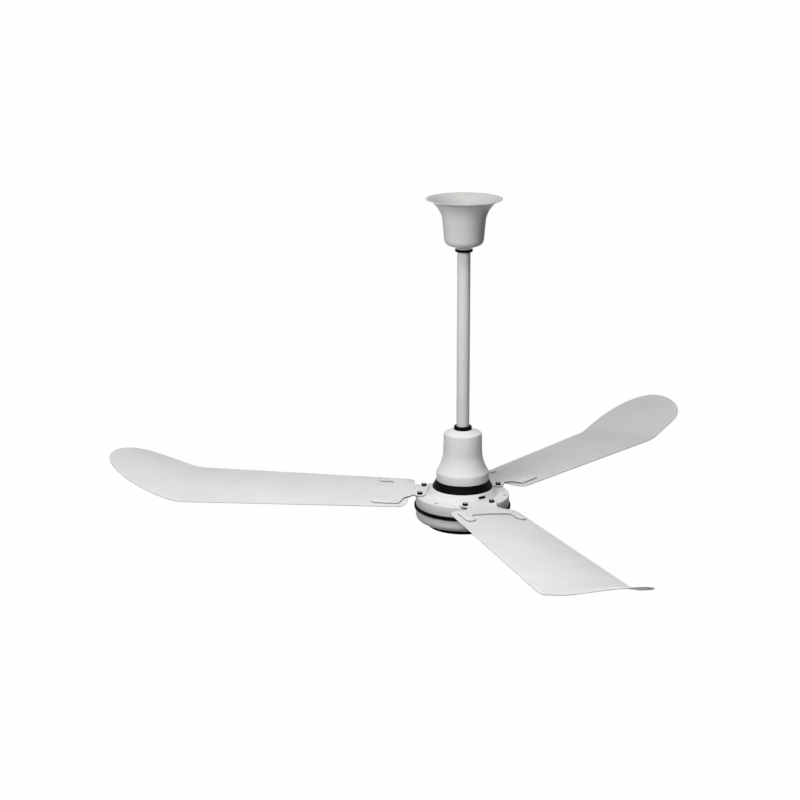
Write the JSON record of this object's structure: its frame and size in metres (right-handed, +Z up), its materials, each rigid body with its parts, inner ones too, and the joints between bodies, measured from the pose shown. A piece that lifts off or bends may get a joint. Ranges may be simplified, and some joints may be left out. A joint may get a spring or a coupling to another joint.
{
  "type": "ceiling fan",
  "caption": "White ceiling fan with long upturned sheet blades on forked brackets, a stepped round motor, a down rod and flared covers, hung from a hook by a rubber roller.",
  "frame": {"origin": "centre of the rubber roller that sits in the ceiling hook", "axes": "+Z up along the down rod and motor shaft, +X along the roller and hanger bolt, +Y away from the viewer of the picture"},
  "size_m": [1.1758, 1.2439, 0.6434],
  "materials": {
    "white_paint": "white powder coat, satin",
    "black_rubber": "moulded, matt",
    "black_plastic": "moulded, fine grain",
    "zinc_plated_steel": "zinc plated",
    "bearing_steel": "ground",
    "core_steel": "stacked sheet, varnished",
    "enamelled_copper": "enamelled wire, varnished",
    "cast_aluminium": "as cast",
    "capacitor_case": "moulded",
    "terminal_plastic": "moulded",
    "brass": "turned",
    "cage_plastic": "moulded"
  },
  "bodies": {
    "hanger": {"hanger_roller": "black_rubber"},
    "rotor": {"upper_cover": "white_paint", "lower_cover": "white_paint", "dust_skirt": "black_plastic", "rotor_ring": "black_plastic", "rotor_end_rings": "cast_aluminium", "bottom_cap": "black_plastic", "housing_screws": "white_paint", "upper_bearing_outer_race": "bearing_steel", "lower_bearing_outer_race": "bearing_steel", "bracket_screws": "white_paint", "bracket_washers": "black_rubber", "blade_rivets": "white_paint", "blade_back": "white_paint", "blade_left": "white_paint", "blade_front": "white_paint", "blade_bracket_back": "white_paint", "blade_bracket_left": "white_paint", "blade_bracket_front": "white_paint"},
    "upper_ball_set": {"upper_bearing_balls": "bearing_steel", "upper_bearing_cage": "cage_plastic"},
    "lower_ball_set": {"lower_bearing_balls": "bearing_steel", "lower_bearing_cage": "cage_plastic"},
    "canopy": {"ceiling_canopy": "white_paint", "canopy_collar": "black_rubber"},
    "bell": {"motor_bell": "white_paint", "bell_grommet": "black_rubber"},
    "suspension": {"hanger_shackle": "zinc_plated_steel", "hanger_bolt": "zinc_plated_steel", "rod_bolt": "zinc_plated_steel", "coupling_bolt": "zinc_plated_steel", "bolt_nuts": "zinc_plated_steel", "split_pins": "zinc_plated_steel", "downrod": "white_paint", "motor_shaft": "bearing_steel", "retaining_ring": "bearing_steel", "bearing_spacer": "zinc_plated_steel", "shaft_nuts": "zinc_plated_steel", "stator_core": "core_steel", "stator_winding": "enamelled_copper", "wiring_plate": "zinc_plated_steel", "plate_screws": "zinc_plated_steel", "capacitor": "capacitor_case", "capacitor_strap": "zinc_plated_steel", "terminal_block": "terminal_plastic", "terminal_screws": "brass", "upper_bearing_inner_race": "bearing_steel", "lower_bearing_inner_race": "bearing_steel"}
  },
  "joints": [
    {"name": "hanger_swing", "type": "hinge", "parent": "hanger", "child": "suspension", "pos_m": [0, 0, 0], "axis": [1, 0, 0], "range_deg": [-15, 15]},
    {"name": "fan_spin", "type": "hinge", "parent": "suspension", "child": "rotor", "pos_m": [0, 0, -0.569], "axis": [0, 0, 1], "continuous": true},
    {"name": "upper_ball_spin", "type": "hinge", "parent": "suspension", "child": "upper_ball_set", "pos_m": [0, 0, -0.529], "axis": [0, 0, 1], "continuous": true},
    {"name": "lower_ball_spin", "type": "hinge", "parent": "suspension", "child": "lower_ball_set", "pos_m": [0, 0, -0.597], "axis": [0, 0, 1], "continuous": true},
    {"name": "canopy_slide", "type": "slide", "parent": "suspension", "child": "canopy", "axis": [0, 0, -1], "range_m": [0, 0.12]},
    {"name": "bell_slide", "type": "slide", "parent": "suspension", "child": "bell", "axis": [0, 0, 1], "range_m": [0, 0.12]}
  ],
  "couplings": [
    {"joint": "upper_ball_spin", "follows": "fan_spin", "ratio": 0.6},
    {"joint": "lower_ball_spin", "follows": "fan_spin", "ratio": 0.6}
  ]
}
